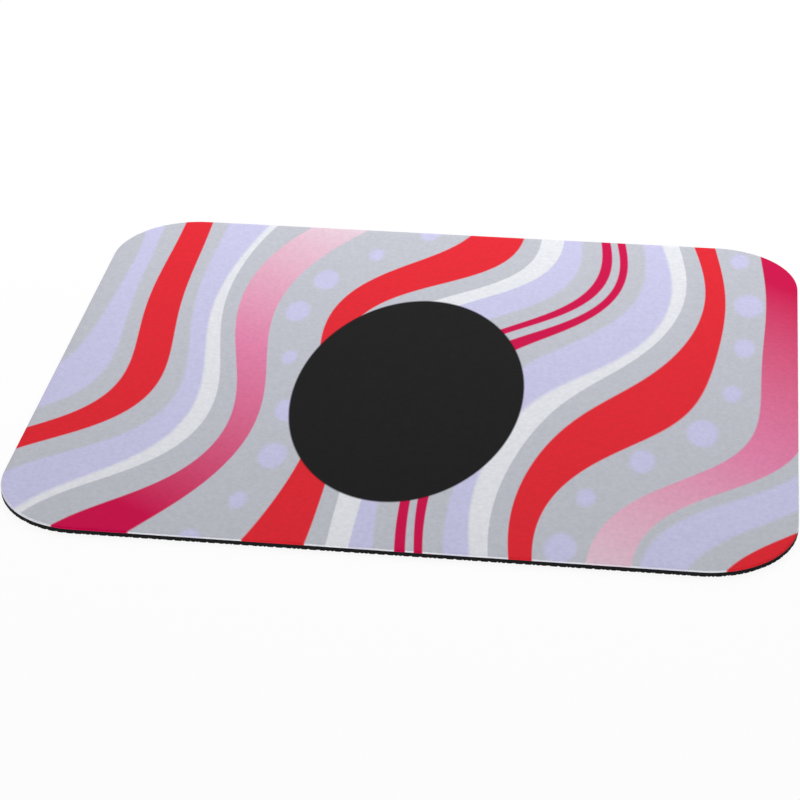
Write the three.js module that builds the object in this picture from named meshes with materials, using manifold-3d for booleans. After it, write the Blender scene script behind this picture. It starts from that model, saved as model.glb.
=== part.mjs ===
// A cloth-faced mouse pad with rounded corners, in millimetres.
// It is a laminate of three sheets: foam rubber below, a thin film of hot-melt
// adhesive, and knitted polyester cloth on top. The sheets are bonded while they
// are large and one die then cuts all three, so they share a single outline.
// +X runs along the long side, +Y away from the user and +Z up. The origin is the
// middle of the underside, on the desk.
import * as THREE from "three";
import { mergeVertices } from "three/addons/utils/BufferGeometryUtils.js";
import Module from "manifold-3d";

const wasm = await Module();
wasm.setup();

// Driving dimensions: the outline that the die cuts
const padLength = 240;
const padWidth = 200;
const cornerRadius = 28;

// Thickness of each sheet of the laminate
const rubberThickness = 1.4;
const filmThickness = 0.1;
const clothThickness = 0.5;

// The die drags the cloth's top edge down as it cuts, which leaves it round
const clothEdgeRadius = 0.3;

// How finely round stretches are cut into facets
const stepsPerCorner = 32;
const stepsPerEdgeRound = 4;

// How far a cutting block runs past what it trims
const cutOverrun = 5;

// The die's outline: four straight sides joined by quarter circles
function padOutline() {
  const right = padLength / 2;
  const back = padWidth / 2;
  const cornerX = right - cornerRadius;
  const cornerY = back - cornerRadius;
  const quarterTurn = Math.PI / 2;
  const outline = new THREE.Shape();
  outline.moveTo(-cornerX, -back);
  outline.lineTo(cornerX, -back);
  outline.absarc(cornerX, -cornerY, cornerRadius, -quarterTurn, 0, false);
  outline.lineTo(right, cornerY);
  outline.absarc(cornerX, cornerY, cornerRadius, 0, quarterTurn, false);
  outline.lineTo(-cornerX, back);
  outline.absarc(-cornerX, cornerY, cornerRadius, quarterTurn, 2 * quarterTurn, false);
  outline.lineTo(-right, -cornerY);
  outline.absarc(-cornerX, -cornerY, cornerRadius, 2 * quarterTurn, 3 * quarterTurn, false);
  return outline;
}

// A sheet of one thickness with its cut edge square
function squareCutSheet(thickness) {
  return new THREE.ExtrudeGeometry(padOutline(), {
    depth: thickness,
    bevelEnabled: false,
    curveSegments: stepsPerCorner,
  });
}

// A closed geometry as a solid that can be cut
function solidFrom(geometry) {
  const bare = geometry.clone();
  bare.deleteAttribute("normal");
  bare.deleteAttribute("uv");
  const merged = mergeVertices(bare);
  return new wasm.Manifold(
    new wasm.Mesh({
      numProp: 3,
      vertProperties: merged.getAttribute("position").array,
      triVerts: new Uint32Array(merged.index.array),
    }),
  );
}

// A cut solid as a geometry again
function geometryFrom(solid) {
  const mesh = solid.getMesh();
  const geometry = new THREE.BufferGeometry();
  geometry.setAttribute("position", new THREE.BufferAttribute(mesh.vertProperties, mesh.numProp));
  geometry.setIndex(new THREE.BufferAttribute(mesh.triVerts, 1));
  geometry.computeVertexNormals();
  return geometry;
}

// A sheet whose top edge is rounded over and whose bottom edge is square. The
// extrusion rounds both of its edges, so it is made too deep and trimmed below.
function roundedTopSheet(thickness, edgeRadius) {
  const deep = new THREE.ExtrudeGeometry(padOutline(), {
    depth: thickness,
    bevelEnabled: true,
    bevelThickness: edgeRadius,
    bevelSize: edgeRadius,
    bevelOffset: -edgeRadius,
    bevelSegments: stepsPerEdgeRound,
    curveSegments: stepsPerCorner,
  });
  deep.translate(0, 0, -edgeRadius);
  const blockHeight = edgeRadius + cutOverrun;
  const block = new THREE.BoxGeometry(
    padLength + 2 * cutOverrun,
    padWidth + 2 * cutOverrun,
    blockHeight,
  );
  block.translate(0, 0, -blockHeight / 2);
  return geometryFrom(solidFrom(deep).subtract(solidFrom(block)));
}

// Closed-cell foam rubber, black right through. It lies on the desk and grips it.
function foamRubberBase() {
  const material = new THREE.MeshStandardMaterial({
    color: 0x1d1d1e,
    roughness: 0.85,
    metalness: 0,
  });
  const mesh = new THREE.Mesh(squareCutSheet(rubberThickness), material);
  mesh.name = "foam_rubber_base";
  return mesh;
}

// Hot-melt adhesive that holds the cloth to the rubber all over
function bondingFilm() {
  const material = new THREE.MeshStandardMaterial({
    color: 0xd9d6cc,
    roughness: 0.45,
    metalness: 0,
  });
  const mesh = new THREE.Mesh(squareCutSheet(filmThickness), material);
  mesh.name = "bonding_film";
  mesh.position.z = rubberThickness;
  return mesh;
}

// Knitted polyester, white in the thread and dyed from its face
function printedClothFace() {
  const material = new THREE.MeshStandardMaterial({
    color: 0xc2c4cd,
    roughness: 0.95,
    metalness: 0,
  });
  const mesh = new THREE.Mesh(roundedTopSheet(clothThickness, clothEdgeRadius), material);
  mesh.name = "printed_cloth_face";
  mesh.position.z = rubberThickness + filmThickness;
  return mesh;
}

const mousePad = new THREE.Group();
mousePad.add(foamRubberBase(), bondingFilm(), printedClothFace());

export default mousePad;
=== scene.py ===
# %% [markdown]
# A cloth-faced mouse pad, dressed in Blender.
# The real pad is a laminate of three sheets: black foam rubber below, a thin film of
# hot-melt adhesive, and knitted polyester cloth on top, printed with an all-over
# pattern. One die cuts all three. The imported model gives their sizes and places, and
# each sheet is modelled again here with the detail that a plain solid leaves out.

import math

import bmesh
import bpy
from mathutils import Matrix, Vector, noise


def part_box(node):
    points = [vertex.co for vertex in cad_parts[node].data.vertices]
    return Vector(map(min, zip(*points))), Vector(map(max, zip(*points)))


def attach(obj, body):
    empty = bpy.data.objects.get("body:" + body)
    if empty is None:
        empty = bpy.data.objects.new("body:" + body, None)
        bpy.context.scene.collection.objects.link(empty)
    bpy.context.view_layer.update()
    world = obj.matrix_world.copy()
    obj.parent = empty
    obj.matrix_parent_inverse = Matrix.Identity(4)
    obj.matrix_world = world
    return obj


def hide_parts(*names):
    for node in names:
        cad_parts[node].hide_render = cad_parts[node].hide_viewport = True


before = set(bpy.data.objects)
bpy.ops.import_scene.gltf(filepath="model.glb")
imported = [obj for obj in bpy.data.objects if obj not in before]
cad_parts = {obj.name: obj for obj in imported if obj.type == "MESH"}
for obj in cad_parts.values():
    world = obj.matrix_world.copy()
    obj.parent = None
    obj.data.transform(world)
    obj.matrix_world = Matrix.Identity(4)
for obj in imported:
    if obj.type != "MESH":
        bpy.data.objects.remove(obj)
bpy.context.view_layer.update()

# %% [markdown]
# The camera comes first, because it decides how large every detail shows. Its place
# was fitted to the outline of the pad in the photograph: it looks down at 31 degrees,
# from a little to the right of the middle, through a long lens, and is turned a
# little about its own axis. The sizes below are that fit, on the pad's top surface.

# %% Camera
MM = 0.001
picture_pixels = 800
sensor_width_mm = 36
focal_pixels = 2442.09
camera_azimuth = math.radians(8.168)
camera_elevation = math.radians(31.029)
camera_roll = math.radians(-0.767)
camera_distance = 778.32 * MM
aim_x, aim_y = -5.65 * MM, -16.452 * MM

half_length, half_width, pad_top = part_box("printed_cloth_face")[1]
aim = Vector((aim_x, aim_y, pad_top))
level = math.cos(camera_elevation)
backward = Vector(
    (math.sin(camera_azimuth) * level, -math.cos(camera_azimuth) * level, math.sin(camera_elevation))
)
sideways = Vector((math.cos(camera_azimuth), math.sin(camera_azimuth), 0))
upward = backward.cross(sideways)
rolled_right = math.cos(camera_roll) * sideways + math.sin(camera_roll) * upward
rolled_up = -math.sin(camera_roll) * sideways + math.cos(camera_roll) * upward

camera_data = bpy.data.cameras.new("photo_camera")
camera_data.sensor_width = sensor_width_mm
camera_data.lens = focal_pixels / picture_pixels * sensor_width_mm
camera = bpy.data.objects.new("photo_camera", camera_data)
bpy.context.collection.objects.link(camera)
turn = Matrix((rolled_right, rolled_up, backward)).transposed().to_4x4()
camera.matrix_world = Matrix.Translation(aim + backward * camera_distance) @ turn
bpy.context.scene.camera = camera
print("camera lens, mm:", round(camera_data.lens, 2))

# %% [markdown]
# All three sheets share the die's outline: four straight sides and four quarter
# circles. A sheet could be one flat polygon with a rounded outline, but then it could
# not bend or be shaded softly. So a square grid is made, and the points of its four
# corner squares are slid into quarter discs. The mesh stays all quads, in rows, as the
# threads of a real sheet do. The rim is then drawn on in rings, each placed by how far
# beyond the die's outline it lies and how high.

# %% The die's outline
corner_radius = 28 * MM
core_x, core_y = half_length - corner_radius, half_width - corner_radius


def edge_point(point, beyond, height):
    """The place nearest to a point that lies so far beyond the die's outline, at a height."""
    nearest = Vector((max(-core_x, min(core_x, point.x)), max(-core_y, min(core_y, point.y)), 0))
    outward = (Vector((point.x, point.y, 0)) - nearest).normalized()
    spot = nearest + outward * (corner_radius + beyond)
    return Vector((spot.x, spot.y, height))


def grid_sheet(mesh, cell, inset, height):
    """A level grid of about square cells that fills the die's outline less an inset."""
    length, width = 2 * (half_length - inset), 2 * (half_width - inset)
    points = bmesh.ops.create_grid(
        mesh, x_segments=round(length / cell), y_segments=round(width / cell), size=0.5
    )["verts"]
    bmesh.ops.scale(mesh, verts=points, vec=(length, width, 1))
    bmesh.ops.translate(mesh, verts=points, vec=(0, 0, height))
    radius = corner_radius - inset
    for point in points:
        across_x = (abs(point.co.x) - core_x) / radius
        across_y = (abs(point.co.y) - core_y) / radius
        if across_x > 0 and across_y > 0:
            x = core_x + radius * across_x * math.sqrt(1 - across_y**2 / 2)
            y = core_y + radius * across_y * math.sqrt(1 - across_x**2 / 2)
            point.co.x = math.copysign(x, point.co.x)
            point.co.y = math.copysign(y, point.co.y)


print("die's outline, mm:", round(2 * half_length / MM), "x", round(2 * half_width / MM))

# %% [markdown]
# A cut edge is where the sheets can be told apart, so it needs more points than the flat
# middle. Three helpers do that for every sheet: one finds the open rim, one cuts its
# edges finer, and one extrudes it by a ring. The last gives a smooth random value, for
# the small unevenness that no die or mould can avoid. It is worked out from the place
# alone, so that each run gives the same unevenness.

# %% Rings and rims
def rim(mesh):
    """The edges that only one face uses."""
    return [edge for edge in mesh.edges if edge.is_boundary]


def refine_rim(mesh, spacing):
    """Cuts the rim's edges into pieces of about the same spacing."""
    by_cuts = {}
    for edge in rim(mesh):
        cuts = round(edge.calc_length() / spacing) - 1
        if cuts > 0:
            by_cuts.setdefault(cuts, []).append(edge)
    for cuts, edges in by_cuts.items():
        bmesh.ops.subdivide_edges(mesh, edges=edges, cuts=cuts)


def grow_rim(mesh, beyond, height):
    """Draws the rim on by one ring of faces, which ends beyond(point) outside the die's outline."""
    drawn = bmesh.ops.extrude_edge_only(mesh, edges=rim(mesh))["geom"]
    for point in (part for part in drawn if isinstance(part, bmesh.types.BMVert)):
        point.co = edge_point(point.co, beyond(point.co), height)


def wander(point, grain, height):
    """A smooth random value from about -1 to 1 that changes over the length of one grain."""
    return noise.noise(Vector((point.x, point.y, height)) / grain)


# %% [markdown]
# Foam rubber is poured and rolled in large sheets whose thickness differs by a few
# hundredths of a millimetre from place to place, and the film and the cloth follow it.
# So each piece gets the same gentle relief: none at the desk, all of it at the top.
# The last helper closes off a piece: it turns the faces outward, keeps real corners
# sharp, and hides the imported node that the piece stands for.

# %% Relief and finishing of a piece
relief_height = 0.05 * MM
relief_span = 45 * MM
# An edge at which the surface turns by more than this is shaded sharp
sharp_angle = math.radians(35)


def settle(mesh):
    """Lifts each point by the laminate's relief, in proportion to its height over the desk."""
    for point in mesh.verts:
        swell = wander(point.co, relief_span, 0)
        point.co.z += relief_height * swell * point.co.z / pad_top


def finish_piece(mesh, name, replaced_node):
    """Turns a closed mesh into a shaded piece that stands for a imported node."""
    settle(mesh)
    bmesh.ops.recalc_face_normals(mesh, faces=mesh.faces)
    open_edges = len(rim(mesh))
    data = bpy.data.meshes.new(name)
    mesh.to_mesh(data)
    mesh.free()
    data.shade_smooth()
    data.set_sharp_from_angle(angle=sharp_angle)
    piece = bpy.data.objects.new(name, data)
    bpy.context.collection.objects.link(piece)
    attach(piece, "root")
    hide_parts(replaced_node)
    triangles = sum(len(face.vertices) - 2 for face in data.polygons)
    print(name, "triangles:", triangles, "open edges:", open_edges)
    return piece


# %% [markdown]
# The foam rubber base grips the desk with a pattern of small studs that the mould
# pressed into its skin, with grooves between them. A bump map could fake them from
# below, but the die cuts straight through the pattern, and the nicks that this leaves
# in the lower edge show from the side. So they are real: each cell of a grid is inset
# and pushed down for a stud with sloping sides. The rubber lay turned on the die, so the
# nicks come at uneven steps.

# %% Grip pattern of the base
stud_pitch = 2 * MM
groove_width = 0.7 * MM
grip_depth = 0.3 * MM
grip_turn = math.radians(37)

base = bmesh.new()
reach = math.hypot(half_length, half_width) + stud_pitch
cells = math.ceil(2 * reach / stud_pitch)
grid = bmesh.ops.create_grid(base, x_segments=cells, y_segments=cells, size=cells * stud_pitch / 2)
bmesh.ops.rotate(base, verts=grid["verts"], cent=(0, 0, 0), matrix=Matrix.Rotation(grip_turn, 3, "Z"))
bmesh.ops.translate(base, verts=grid["verts"], vec=(0, 0, grip_depth))
beyond_die = [
    face
    for face in base.faces
    if abs(face.calc_center_median().x) > half_length + stud_pitch
    or abs(face.calc_center_median().y) > half_width + stud_pitch
]
bmesh.ops.delete(base, geom=beyond_die, context="FACES")
studs = base.faces[:]
bmesh.ops.inset_individual(base, faces=studs, thickness=groove_width / 2, depth=-grip_depth)
print("studs:", len(studs))

# %% [markdown]
# Now the die comes down. Here it is a row of upright planes, each of which cuts off what
# lies outside it: four for the straight sides, and a fan of them for each round corner.
# A boolean with the outline would do it in one go, but on this many small faces the
# planes are quicker and leave a cleaner edge.

# %% Cut the grip pattern to the outline
steps_per_corner = 24
cut_tolerance = 0.001 * MM
shortest_edge = 0.01 * MM


def cut_away(mesh, x, y, angle, near_x, near_y):
    """Cuts off what lies beyond a plane through (x, y), among the faces past (near_x, near_y)."""
    sign_x = math.copysign(1, math.cos(angle))
    sign_y = math.copysign(1, math.sin(angle))
    faces = [
        face
        for face in mesh.faces
        if any(p.co.x * sign_x > near_x and p.co.y * sign_y > near_y for p in face.verts)
    ]
    parts = set(faces)
    for face in faces:
        parts.update(face.edges)
        parts.update(face.verts)
    bmesh.ops.bisect_plane(
        mesh,
        geom=list(parts),
        dist=cut_tolerance,
        plane_co=(x, y, 0),
        plane_no=(math.cos(angle), math.sin(angle), 0),
        clear_outer=True,
    )


everywhere = -(half_length + half_width)
for side in range(4):
    angle = math.radians(90 * side)
    x = half_length * math.cos(angle)
    y = half_width * math.sin(angle)
    cut_away(base, x, y, angle, everywhere, everywhere)
chord = corner_radius * math.cos(math.radians(45 / steps_per_corner))
for corner in range(4):
    for step in range(steps_per_corner):
        angle = math.radians(90 * (corner + (step + 0.5) / steps_per_corner))
        x = math.copysign(core_x, math.cos(angle)) + chord * math.cos(angle)
        y = math.copysign(core_y, math.sin(angle)) + chord * math.sin(angle)
        cut_away(base, x, y, angle, core_x - stud_pitch, core_y - stud_pitch)
bmesh.ops.remove_doubles(base, verts=base.verts, dist=shortest_edge)
print("grip pattern faces:", len(base.faces), "rim edges:", len(rim(base)))

# %% [markdown]
# Above the pattern stands the cut wall. Foam gives way under the die and springs back,
# so the wall is a little hollow, and the cells that the die opened leave it uneven.
# Rows of points climb the wall, each moved in by a smooth random amount. Two points of
# the pattern's edge that lie almost one above the other would start two columns in one
# place, so points that are closer than the shortest edge are merged. Which of them stay
# can differ from run to run, by about that distance.

# %% Cut wall and top of the base
rubber_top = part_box("foam_rubber_base")[1].z
# The rows are spaced from this far above the floor of the grooves
wall_foot_rise = 0.045 * MM
wall_foot = grip_depth + wall_foot_rise
wall_rows = 5
wall_hollow = 0.06 * MM
wall_roughness = 0.07 * MM
foam_grain = 0.9 * MM
foam_spacing = 0.5 * MM

refine_rim(base, foam_spacing)
for row in range(1, wall_rows + 1):
    climbed = row / wall_rows
    height = wall_foot + (rubber_top - wall_foot) * climbed
    grow_rim(
        base,
        lambda p: -wall_hollow * math.sin(math.pi * climbed)
        - wall_roughness * abs(wander(p, foam_grain, height)),
        height,
    )
bmesh.ops.remove_doubles(base, verts=base.verts, dist=shortest_edge)
bmesh.ops.edgeloop_fill(base, edges=rim(base))
foam_base = finish_piece(base, "grip_base", "foam_rubber_base")

# %% [markdown]
# The bonding film shows only as a hairline between black and white. It is pressed
# while hot, so its edge wavers a little behind the die's cut.

# %% Bonding film
film_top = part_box("bonding_film")[1].z
film_cell = 5 * MM
film_rim_width = 0.3 * MM
film_rim_spacing = 1 * MM
film_setback = 0.03 * MM
film_waver = 0.03 * MM
film_waver_length = 3 * MM

film = bmesh.new()
grid_sheet(film, film_cell, film_rim_width, film_top)
refine_rim(film, film_rim_spacing)
for height in (film_top, rubber_top):
    grow_rim(film, lambda p: -film_setback + film_waver * wander(p, film_waver_length, 0), height)
bmesh.ops.edgeloop_fill(film, edges=rim(film))
adhesive = finish_piece(film, "adhesive_layer", "bonding_film")

# %% [markdown]
# The cloth is one thin sheet. The die drags its top edge down, so the rim is drawn on
# in rings round a quarter circle, and below that comes the cut, where loops of yarn
# end at slightly different places.

# %% Cloth face
cloth_cell = 2 * MM
roll_radius = 0.3 * MM
roll_rings = 5
cut_rows = 2
loop_pitch = 0.55 * MM
loop_unevenness = 0.1 * MM

cloth = bmesh.new()
grid_sheet(cloth, cloth_cell, roll_radius, pad_top)
refine_rim(cloth, loop_pitch)
for ring in range(1, roll_rings + 1):
    turned = math.radians(90 * ring / roll_rings)
    unevenness = loop_unevenness * ring / roll_rings
    inward = roll_radius * (1 - math.sin(turned))
    down = roll_radius * (1 - math.cos(turned))
    grow_rim(cloth, lambda p: -inward - unevenness * abs(wander(p, loop_pitch, 0)), pad_top - down)
cut_height = pad_top - roll_radius - film_top
for row in range(1, cut_rows + 1):
    height = pad_top - roll_radius - cut_height * row / cut_rows
    grow_rim(cloth, lambda p: -loop_unevenness * abs(wander(p, loop_pitch, height)), height)
bmesh.ops.edgeloop_fill(cloth, edges=rim(cloth))
cloth_face = finish_piece(cloth, "cloth_face", "printed_cloth_face")

# %% [markdown]

# %% [markdown]
# Materials come next. Their colours are written as they were read, as sRGB hex
# values, and one function turns them to the linear numbers that Blender mixes. One
# more function adds a node with its settings and its inputs, each a value or a link.

# %% Colours and nodes
def linear(colour):
    """An sRGB hex colour as linear red, green, blue and alpha."""
    channels = [int(colour[start : start + 2], 16) / 255 for start in (1, 3, 5)]
    return [c / 12.92 if c <= 0.04045 else ((c + 0.055) / 1.055) ** 2.4 for c in channels] + [1]


def add(tree, kind, inputs=None, **settings):
    """Adds a node. inputs gives each socket, by name or number, a value or an output to link."""
    node = tree.nodes.new("ShaderNode" + kind)
    for name, value in settings.items():
        setattr(node, name, value)
    for socket, value in (inputs or {}).items():
        if isinstance(value, bpy.types.NodeSocket):
            tree.links.new(value, node.inputs[socket])
        else:
            node.inputs[socket].default_value = value
    return node


def new_material(name):
    """An empty material and its node tree."""
    material = bpy.data.materials.new(name)
    material.use_nodes = True
    material.node_tree.nodes.clear()
    return material, material.node_tree


def in_millimetres(tree):
    """The place on the object, in millimetres."""
    place = add(tree, "TexCoord").outputs["Object"]
    return add(tree, "VectorMath", {0: place, "Scale": 1 / MM}, operation="SCALE").outputs[0]


print("middle grey, #808080, as linear:", round(linear("#808080")[0], 3))

# %% [markdown]
# The cloth is warp-knitted polyester whose print is dye, driven into the white yarn
# from paper by heat. The dye leaves the hand and the dull shine of the cloth as they
# are, so one material serves and only its colour changes. The design is a generic one
# of flowing ribbons: a place along the ribbons and a place across them are found by
# turning the pad's own coordinates, and long sines bend the second, so that every
# ribbon is a band between two values of it.

# %% Dyes and layout of the print
dyes = {
    "grey": "#bbbdc6",
    "red": "#dc2330",
    "lavender": "#c3c2e1",
    "white": "#dee0e5",
    "crimson": "#c80048",
    "black": "#0e0e0f",
}
# A fading ribbon goes from the first of these, by way of the second halfway, to the third
fade_dyes = [dyes["crimson"], "#dd80a7", "#ddccd6"]
fade_middle = 0.5
# The white of the cut edge: partly undyed yarn, partly a painted highlight on the rolled edge
undyed_yarn_and_edge_highlight = "#f0f1fa"

# The print was stretched to the pad's shape, so its motifs are this much taller than wide
print_stretch = 1.69
ribbon_angle = math.radians(70)
# Bends of the ribbons, in mm: height, length, start in degrees, and lean
ribbon_bends = [(14, 130, 270, -0.3), (2.5, 70, 190, 0.3)]
# Ribbons, in mm: place across the flow, half width, and dye
ribbons = [
    (-131, 5.0, "red"),
    (-113, 5.0, "lavender"),
    (-97.5, 7.0, "fade right"),
    (-66, 6.4, "red"),
    (-48, 4.4, "white"),
    (-41, 5.4, "lavender"),
    (-26, 2.2, "crimson"),
    (-19, 1.6, "crimson"),
    (-4.5, 5.4, "lavender"),
    (3, 4.2, "white"),
    (21, 6.2, "red"),
    (56, 6.4, "fade left"),
    (74, 3.4, "white"),
    (80.5, 5.2, "lavender"),
    (99, 6.0, "red"),
    (118, 5.4, "lavender"),
]
# Where along the flow the two fading ribbons begin and end, in mm
fades = {"fade left": (-75, 50), "fade right": (80, -50)}
# A ribbon swells and narrows by this share of its half width, over this length in mm, and
# each ribbon starts its swell this many degrees after the one before
ribbon_swell = 0.3
ribbon_swell_length = 118
ribbon_swell_turn = 137.5
# Rows of dots, in mm: place across the flow, radius, spacing and start
dot_rows = [(38.5, 3.6, 16, 4), (-81, 3.8, 17, 0)]
# The dots swell and shrink by this share of their radius, in a wave that turns by this
# many radians from one dot to the next
dot_swell = 0.3
dot_swell_turn = 2
# A plain oval, in mm: middle and half sizes
oval_middle = (-3.73, -12.93)
oval_half = (37.01, 62.6)
# The dye creeps along the yarn, so its edges are this soft, in mm, and the lavender's more so
dye_creep = 0.7
lavender_creep = 1.9
print("dyes:", len(dyes), "ribbons:", len(ribbons), "rows of dots:", len(dot_rows))

# %% [markdown]
# The flow gives each point of the cloth its place along and across the ribbons. A bend
# is a sine of the place along, leaning a little so that neighbouring ribbons don't run
# quite parallel, and it is added to the place across. Its slope comes with it, because
# the dots need it further on.

# %% The flow of the ribbons
def flow_of_print(tree, place):
    """The places along and across the bent ribbons, and the slopes of the second."""
    laid = add(
        tree,
        "Mapping",
        {"Vector": place, "Rotation": (0, 0, -ribbon_angle), "Scale": (1, 1 / print_stretch, 1)},
    )
    straight = add(tree, "SeparateXYZ", {0: laid.outputs[0]})
    along, across = straight.outputs[0], straight.outputs[1]
    bent, by_along, by_across = across, 0, 1
    for height, length, start, lean in ribbon_bends:
        per_mm = 2 * math.pi / length
        slope = height * per_mm
        leaning = add(tree, "Math", {0: across, 1: lean, 2: along}, operation="MULTIPLY_ADD").outputs[0]
        phase = add(
            tree, "Math", {0: leaning, 1: per_mm, 2: math.radians(start)}, operation="MULTIPLY_ADD"
        ).outputs[0]
        sine = add(tree, "Math", {0: phase}, operation="SINE").outputs[0]
        cosine = add(tree, "Math", {0: phase}, operation="COSINE").outputs[0]
        raised = add(tree, "Math", {0: sine, 1: height, 2: bent}, operation="MULTIPLY_ADD")
        steeper = add(tree, "Math", {0: cosine, 1: slope, 2: by_along}, operation="MULTIPLY_ADD")
        wider = add(tree, "Math", {0: cosine, 1: slope * lean, 2: by_across}, operation="MULTIPLY_ADD")
        bent, by_along, by_across = raised.outputs[0], steeper.outputs[0], wider.outputs[0]
    return along, bent, by_along, by_across


def dye_where(tree, inside, dye, ground, creep=dye_creep):
    """The ground with a dye wherever inside, a distance in mm, is positive."""
    mask = add(
        tree,
        "MapRange",
        {"Value": inside, "From Min": -creep / 2, "From Max": creep / 2},
        interpolation_type="SMOOTHSTEP",
    )
    return add(tree, "Mix", {0: mask.outputs[0], 6: ground, 7: dye}, data_type="RGBA").outputs[2]


# %% [markdown]
# Each ribbon swells and narrows along its length, each at its own place. Its inside is
# its half width less the distance from its middle line. Two ribbons fade from crimson
# to a pale pink along the flow. The dots sit in rows between ribbons; the bend of the
# flow would shear them, so the slopes of the flow are used to keep them round. The oval
# is measured in shares of its own half sizes, in which it is a plain circle.

# %% Ribbons, dots and oval
def dye_ribbon(tree, flow, ground, number, place, half_width_mm, dye):
    """The ground with one ribbon over it."""
    along, bent = flow[:2]
    phase = add(
        tree,
        "Math",
        {0: along, 1: 2 * math.pi / ribbon_swell_length, 2: math.radians(number * ribbon_swell_turn)},
        operation="MULTIPLY_ADD",
    )
    wave = add(tree, "Math", {0: phase.outputs[0]}, operation="SINE")
    half = add(
        tree,
        "Math",
        {0: wave.outputs[0], 1: half_width_mm * ribbon_swell, 2: half_width_mm},
        operation="MULTIPLY_ADD",
    )
    offset = add(tree, "Math", {0: bent, 1: place}, operation="SUBTRACT")
    distance = add(tree, "Math", {0: offset.outputs[0]}, operation="ABSOLUTE")
    inside = add(tree, "Math", {0: half.outputs[0], 1: distance.outputs[0]}, operation="SUBTRACT")
    if dye in fades:
        begin, end = fades[dye]
        share = add(tree, "MapRange", {"Value": along, "From Min": begin, "From Max": end})
        ramp = add(tree, "ValToRGB", {0: share.outputs[0]})
        stops = ramp.color_ramp.elements
        stops[0].color, stops[1].color = linear(fade_dyes[0]), linear(fade_dyes[2])
        stops.new(fade_middle).color = linear(fade_dyes[1])
        colour = ramp.outputs[0]
    else:
        colour = linear(dyes[dye])
    creep = lavender_creep if dye == "lavender" else dye_creep
    return dye_where(tree, inside.outputs[0], colour, ground, creep)


def dye_dots(tree, flow, ground, place, radius, spacing, start):
    """The ground with one row of dots over it."""
    along, bent, by_along, by_across = flow
    shifted = add(tree, "Math", {0: along, 1: start}, operation="SUBTRACT")
    step = add(
        tree, "Math", {0: shifted.outputs[0], 1: spacing / 2, 2: -spacing / 2}, operation="WRAP"
    ).outputs[0]
    offset = add(tree, "Math", {0: bent, 1: place}, operation="SUBTRACT")
    sheared = add(tree, "Math", {0: step, 1: by_along}, operation="MULTIPLY")
    upright = add(tree, "Math", {0: offset.outputs[0], 1: sheared.outputs[0]}, operation="SUBTRACT")
    sidestep = add(tree, "Math", {0: upright.outputs[0], 1: by_across}, operation="DIVIDE")
    spot = add(tree, "CombineXYZ", {0: step, 1: sidestep.outputs[0]})
    distance = add(tree, "VectorMath", {0: spot.outputs[0]}, operation="LENGTH").outputs["Value"]
    wave = add(tree, "Math", {0: along, 1: dot_swell_turn / spacing}, operation="MULTIPLY")
    sine = add(tree, "Math", {0: wave.outputs[0]}, operation="SINE").outputs[0]
    size = add(tree, "Math", {0: sine, 1: radius * dot_swell, 2: radius}, operation="MULTIPLY_ADD")
    inside = add(tree, "Math", {0: size.outputs[0], 1: distance}, operation="SUBTRACT")
    return dye_where(tree, inside.outputs[0], linear(dyes["lavender"]), ground, lavender_creep)


def dye_oval(tree, place, ground):
    """The ground with the plain black oval over it."""
    moved = add(tree, "VectorMath", {0: place, 1: (*oval_middle, 0)}, operation="SUBTRACT")
    scaled = add(
        tree,
        "VectorMath",
        {0: moved.outputs[0], 1: (1 / oval_half[0], 1 / oval_half[1], 0)},
        operation="MULTIPLY",
    )
    share = add(tree, "VectorMath", {0: scaled.outputs[0]}, operation="LENGTH").outputs["Value"]
    inside = add(tree, "Math", {0: share, 1: -oval_half[0], 2: oval_half[0]}, operation="MULTIPLY_ADD")
    return dye_where(tree, inside.outputs[0], linear(dyes["black"]), ground)


# %% [markdown]
# One function now lays the whole print down in the order of a screen printer: the grey
# ground first, then the ribbons, the dots and the oval. It can be called for any
# material whose surface the dye reaches.

# %% The whole print
def print_colour(tree, place):
    """The colour of the print at a place."""
    flow = flow_of_print(tree, place)
    colour = linear(dyes["grey"])
    for number, (across, half, dye) in enumerate(ribbons):
        colour = dye_ribbon(tree, flow, colour, number, across, half, dye)
    for row in dot_rows:
        colour = dye_dots(tree, flow, colour, *row)
    return dye_oval(tree, place, colour)


# %% [markdown]
# A pale dye reaches only the face of the cloth, so the yarn that the die cut through is
# white below it, with a breath of the colour above. The thin white line along the pad's
# front is partly that undyed yarn and partly a painted highlight: its whiter colour stands
# in for the light that the rolled edge catches, so it shows under pale dyes and hardly
# under strong ones. A strong dye such as the red goes right through the cloth and on
# into the film. How strong a dye is can be read from its saturation. The print ends at a
# wavering distance from the die's outline, and a little further from it round the
# corners, where the die drags the cloth down in two directions at once.

# %% Undyed edge and painted highlight
# In mm: how far inside the die's outline the print ends, how much further at most where
# it wavers, over what length it wavers, and how soft its end is
undyed_margin = 0.12
undyed_waver = 0.06
undyed_waver_length = 0.8
undyed_creep = 0.06
# How much wider the margin is in the middle of a corner, in mm
corner_drag = 0.3
# Saturation of a dye that goes right through the cloth, and of one that stays on its face
paleness_range = (0.65, 0.05)
most_undyed = 0.8


def below_the_print(tree, printed, undyed):
    """The colour under the print: the dye's own where it is strong, the undyed one where it is pale."""
    saturation = add(tree, "SeparateColor", {0: printed}, mode="HSV").outputs[1]
    strong, pale = paleness_range
    share = add(
        tree,
        "MapRange",
        {"Value": saturation, "From Min": strong, "From Max": pale, "To Max": most_undyed},
    )
    return add(tree, "Mix", {0: share.outputs[0], 6: printed, 7: undyed}, data_type="RGBA").outputs[2]


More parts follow.
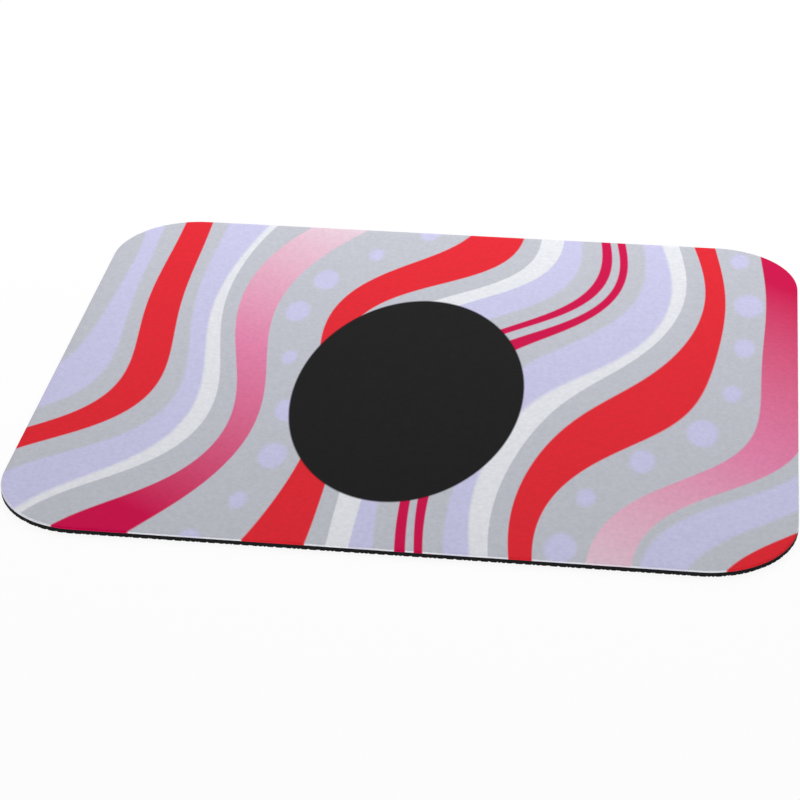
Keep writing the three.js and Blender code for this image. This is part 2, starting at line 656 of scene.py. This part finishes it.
def leave_edge_undyed_and_highlit(tree, place, printed):
    """The print's colour, and at the cut edge white yarn, partly undyed and partly a painted highlight.
    """
    mirrored = add(tree, "VectorMath", {0: place}, operation="ABSOLUTE")
    core_corner = (core_x / MM, core_y / MM, 0)
    past_core = add(tree, "VectorMath", {0: mirrored.outputs[0], 1: core_corner}, operation="SUBTRACT")
    clamped = add(tree, "VectorMath", {0: past_core.outputs[0], 1: (0, 0, 0)}, operation="MAXIMUM")
    level_only = add(tree, "VectorMath", {0: clamped.outputs[0], 1: (1, 1, 0)}, operation="MULTIPLY")
    reach = add(tree, "VectorMath", {0: level_only.outputs[0]}, operation="LENGTH").outputs["Value"]
    waver = add(tree, "TexNoise", {"Vector": place, "Scale": 1 / undyed_waver_length, "Detail": 1})
    margin = add(
        tree,
        "Math",
        {0: waver.outputs[0], 1: undyed_waver, 2: undyed_margin - corner_radius / MM},
        operation="MULTIPLY_ADD",
    )
    split = add(tree, "SeparateXYZ", {0: level_only.outputs[0]})
    both_ways = add(tree, "Math", {0: split.outputs[0], 1: split.outputs[1]}, operation="MULTIPLY")
    per_corner = 2 * corner_drag / (corner_radius / MM) ** 2
    dragged = add(
        tree,
        "Math",
        {0: both_ways.outputs[0], 1: per_corner, 2: margin.outputs[0]},
        operation="MULTIPLY_ADD",
    )
    past_margin = add(tree, "Math", {0: reach, 1: dragged.outputs[0]}, operation="ADD")
    # The whiter edge colour is partly undyed yarn and partly a painted highlight on the rolled edge
    yarn = below_the_print(tree, printed, linear(undyed_yarn_and_edge_highlight))
    return dye_where(tree, past_margin.outputs[0], yarn, printed, undyed_creep)


# %% [markdown]
# Close up, the cloth is rows of small stitches. A real stitch here is about 0.4 mm
# wide, which is finer than the picture shows, so the stitches are drawn 0.7 mm wide:
# columns of slanting loops that mirror each other. Over them lies the unevenness of
# the yarn, about 1.3 mm from patch to patch, which is what the eye sees as mottling.

# %% Knit of the cloth
# Sizes of a stitch in mm, and how far up it slants for each mm across
stitch_width = 0.7
stitch_height = 0.6
stitch_slant = 1.2
stitch_relief = 0.05
# How much of a stitch's height comes and goes along its column
loop_share = 0.3


def knit_height(tree, place):
    """The height of the knit, from 0 to 1, as columns of slanting loops."""
    split = add(tree, "SeparateXYZ", {0: place})
    across, up = split.outputs[0], split.outputs[1]
    column = add(tree, "Math", {0: across, 1: stitch_width / 2}, operation="PINGPONG").outputs[0]
    slant = add(tree, "Math", {0: column, 1: stitch_slant, 2: up}, operation="MULTIPLY_ADD").outputs[0]
    turn = add(tree, "Math", {0: slant, 1: 2 * math.pi / stitch_height}, operation="MULTIPLY").outputs[0]
    loop = add(tree, "Math", {0: turn}, operation="SINE").outputs[0]
    raised = add(tree, "Math", {0: loop, 1: loop_share, 2: 1 - loop_share}, operation="MULTIPLY_ADD")
    crown = add(tree, "Math", {0: column, 1: 2 * math.pi / stitch_width}, operation="MULTIPLY").outputs[0]
    dome = add(tree, "Math", {0: crown}, operation="SINE").outputs[0]
    return add(tree, "Math", {0: dome, 1: raised.outputs[0]}, operation="MULTIPLY").outputs[0]


print("stitches across the pad:", round(2 * half_length / MM / stitch_width))


# %% [markdown]
# Put together, the cloth is matte: rough, with almost no shine and only a trace of the
# sheen that its short hairs give at a grazing angle. The same mottling that varies the
# colour a little also lifts the surface and varies its roughness, because in real cloth
# all three come from one cause, the unevenness of the yarn.

# %% Printed cloth material
# Size of the mottling in mm, the values of its noise that give the darkest and the
# lightest yarn, and how much darker or lighter that yarn is
mottle_size = 1.3
darkest_mottle = 0.25
lightest_mottle = 0.75
mottle_contrast = 0.07
# How high the mottling lifts the cloth, beside a stitch of height 1
mottle_lift = 0.8
smoothest_cloth = 0.82
roughest_cloth = 0.98

printed_jersey, tree = new_material("sublimation_printed_polyester_knit")
place = in_millimetres(tree)
colour = leave_edge_undyed_and_highlit(tree, place, print_colour(tree, place))
mottle = add(
    tree, "TexNoise", {"Vector": place, "Scale": 1 / mottle_size, "Detail": 2, "Roughness": 0.6}
)
brightness = add(
    tree,
    "MapRange",
    {
        "Value": mottle.outputs[0],
        "From Min": darkest_mottle,
        "From Max": lightest_mottle,
        "To Min": 1 - mottle_contrast,
        "To Max": 1 + mottle_contrast,
    },
)
mottled = add(tree, "VectorMath", {0: colour, "Scale": brightness.outputs[0]}, operation="SCALE")
knit = knit_height(tree, place)
height = add(tree, "Math", {0: mottle.outputs[0], 1: mottle_lift, 2: knit}, operation="MULTIPLY_ADD")
relief = add(
    tree, "Bump", {"Strength": 0.6, "Distance": stitch_relief * MM, "Height": height.outputs[0]}
)
roughness = add(
    tree, "MapRange", {"Value": mottle.outputs[0], "To Min": smoothest_cloth, "To Max": roughest_cloth}
)
cloth_shader = add(
    tree,
    "BsdfPrincipled",
    {
        "Base Color": mottled.outputs[0],
        "Roughness": roughness.outputs[0],
        "IOR": 1.5,
        "Specular IOR Level": 0.06,
        "Sheen Weight": 0.015,
        "Sheen Roughness": 0.5,
        "Normal": relief.outputs[0],
    },
)
add(tree, "OutputMaterial", {0: cloth_shader.outputs[0]})
cloth_face.data.materials.append(printed_jersey)
print("nodes in the print:", len(tree.nodes))

# %% [markdown]
# The base is styrene-butadiene foam rubber, black from carbon and dull. Its skin took
# the mould's fine blasted grain, and its cut wall shows opened cells a few tenths of a
# millimetre wide, drawn here as small pits.

# %% Foam rubber material
# Size and depth of a cell, and size of a patch of dust, in mm
foam_cell_size = 0.35
foam_cell_depth = 0.04
dust_patch_size = 4
# Distances from a cell's middle, in cells, at which its pit starts to rise and ends
pit_floor = 0.1
pit_rim = 0.6
# Values of the dust's noise at which it starts to show and shows in full
least_dust = 0.35
most_dust = 0.75
clean_rubber = "#101011"
dusty_rubber = "#1b1b1d"
smoothest_rubber = 0.7
roughest_rubber = 0.95

foam_rubber, tree = new_material("closed_cell_foam_rubber")
place = in_millimetres(tree)
cells_of_foam = add(
    tree, "TexVoronoi", {"Vector": place, "Scale": 1 / foam_cell_size}, feature="SMOOTH_F1"
)
from_middle = cells_of_foam.outputs["Distance"]
pits = add(tree, "MapRange", {"Value": from_middle, "From Min": pit_floor, "From Max": pit_rim})
dust = add(tree, "TexNoise", {"Vector": place, "Scale": 1 / dust_patch_size, "Detail": 3})
dusty = add(
    tree, "MapRange", {"Value": dust.outputs[0], "From Min": least_dust, "From Max": most_dust}
)
rubber_colour = add(
    tree,
    "Mix",
    {0: dusty.outputs[0], 6: linear(clean_rubber), 7: linear(dusty_rubber)},
    data_type="RGBA",
)
rubber_roughness = add(
    tree, "MapRange", {"Value": dust.outputs[0], "To Min": smoothest_rubber, "To Max": roughest_rubber}
)
rubber_relief = add(
    tree, "Bump", {"Strength": 0.5, "Distance": foam_cell_depth * MM, "Height": pits.outputs[0]}
)
rubber_shader = add(
    tree,
    "BsdfPrincipled",
    {
        "Base Color": rubber_colour.outputs[2],
        "Roughness": rubber_roughness.outputs[0],
        "IOR": 1.52,
        "Specular IOR Level": 0.1,
        "Normal": rubber_relief.outputs[0],
    },
)
add(tree, "OutputMaterial", {0: rubber_shader.outputs[0]})
foam_base.data.materials.append(foam_rubber)
print("nodes in the rubber:", len(tree.nodes))

# %% [markdown]
# The film is hot-melt polyamide, milky and satin. Only its edge can be seen. Polyamide
# takes up the same dyes as polyester, so a strong dye stains the film below it too.

# %% Adhesive film material
# Size of a streak in mm, and the two colours between which the streaks go
film_streak_size = 2
dull_milk = "#dddcd8"
pale_milk = "#ecece9"
smoothest_film = 0.35
roughest_film = 0.6

hot_melt, tree = new_material("hot_melt_polyamide_film")
place = in_millimetres(tree)
streaks = add(tree, "TexNoise", {"Vector": place, "Scale": 1 / film_streak_size, "Detail": 2})
milky = add(
    tree, "Mix", {0: streaks.outputs[0], 6: linear(dull_milk), 7: linear(pale_milk)}, data_type="RGBA"
)
film_colour = below_the_print(tree, print_colour(tree, place), milky.outputs[2])
film_roughness = add(
    tree, "MapRange", {"Value": streaks.outputs[0], "To Min": smoothest_film, "To Max": roughest_film}
)
film_shader = add(
    tree,
    "BsdfPrincipled",
    {"Base Color": film_colour, "Roughness": film_roughness.outputs[0], "IOR": 1.53},
)
add(tree, "OutputMaterial", {0: film_shader.outputs[0]})
adhesive.data.materials.append(hot_melt)
print("nodes in the film:", len(tree.nodes))

# %% [markdown]
# The pad lies on a plain white floor, as in a catalogue. The floor is lit like the
# pad and takes its shadow. For the camera it is mixed with plain white light, so that
# it reads as the picture's white ground without more light falling on the pad. It lies
# a hair below the studs, because two faces in one plane would show as a flicker.

# %% Floor
# The floor's width in metres, how far it lies below the studs, and how much of what the
# camera sees of it is plain white light
floor_size = 8
floor_drop = 0.02 * MM
floor_share_of_white = 0.9

floor_data = bpy.data.meshes.new("floor")
floor_mesh = bmesh.new()
bmesh.ops.create_grid(floor_mesh, x_segments=1, y_segments=1, size=floor_size / 2)
bmesh.ops.translate(floor_mesh, verts=floor_mesh.verts, vec=(0, 0, -floor_drop))
floor_mesh.to_mesh(floor_data)
floor_mesh.free()
floor = bpy.data.objects.new("floor", floor_data)
bpy.context.collection.objects.link(floor)


def shows_background(tree):
    """One for rays that show the background: the camera's, and those by way of gloss or glass."""
    ray = add(tree, "LightPath").outputs
    seen = add(tree, "Math", {0: ray["Is Camera Ray"], 1: ray["Is Glossy Ray"]}, operation="MAXIMUM")
    return add(
        tree, "Math", {0: seen.outputs[0], 1: ray["Is Transmission Ray"]}, operation="MAXIMUM"
    ).outputs[0]


white_floor, tree = new_material("white_floor")
matte = add(tree, "BsdfDiffuse", {"Color": linear("#f6f6f7")})
white = add(tree, "Emission", {"Color": linear("#ffffff"), "Strength": 1})
share = add(tree, "Math", {0: shows_background(tree), 1: floor_share_of_white}, operation="MULTIPLY")
blend = add(tree, "MixShader", {0: share.outputs[0], 1: matte.outputs[0], 2: white.outputs[0]})
add(tree, "OutputMaterial", {0: blend.outputs[0]})
floor_data.materials.append(white_floor)
print("floor below the pad, mm:", floor_drop / MM)

# %% [markdown]
# The light is soft and plain: an even white surround, one broad lamp behind the pad,
# whose light falls off towards the viewer as it does in the photograph, and a low one
# in front, which lights the cut edge. Together they light a level surface at about
# one, so a colour shows as it is written.

# %% Light
surround_strength = 0.36
# Each lamp's name, power in watts, width and place in metres
lamps = [
    ("softbox_behind", 5.1, 0.5, Vector((0.015, 0.55, 0.43))),
    ("softbox_in_front", 11.5, 0.8, Vector((0.1, -1.6, 0.42))),
]

world = bpy.data.worlds.new("surround")
world.use_nodes = True
bpy.context.scene.world = world
tree = world.node_tree
tree.nodes.clear()
strength = add(
    tree, "MapRange", {"Value": shows_background(tree), "To Min": surround_strength, "To Max": 1}
)
sky = add(tree, "Background", {"Color": linear("#ffffff"), "Strength": strength.outputs[0]})
add(tree, "OutputWorld", {0: sky.outputs[0]})

for name, power, width, spot in lamps:
    lamp_data = bpy.data.lights.new(name, "AREA")
    lamp_data.shape = "SQUARE"
    lamp_data.size = width
    lamp_data.energy = power
    lamp = bpy.data.objects.new(name, lamp_data)
    lamp.location = spot
    lamp.rotation_mode = "QUATERNION"
    lamp.rotation_quaternion = (-spot).to_track_quat("-Z", "Y")
    bpy.context.collection.objects.link(lamp)
    print(name, "watts:", power, "metres away:", round(spot.length, 2))

bpy.context.scene.view_settings.view_transform = "Standard"
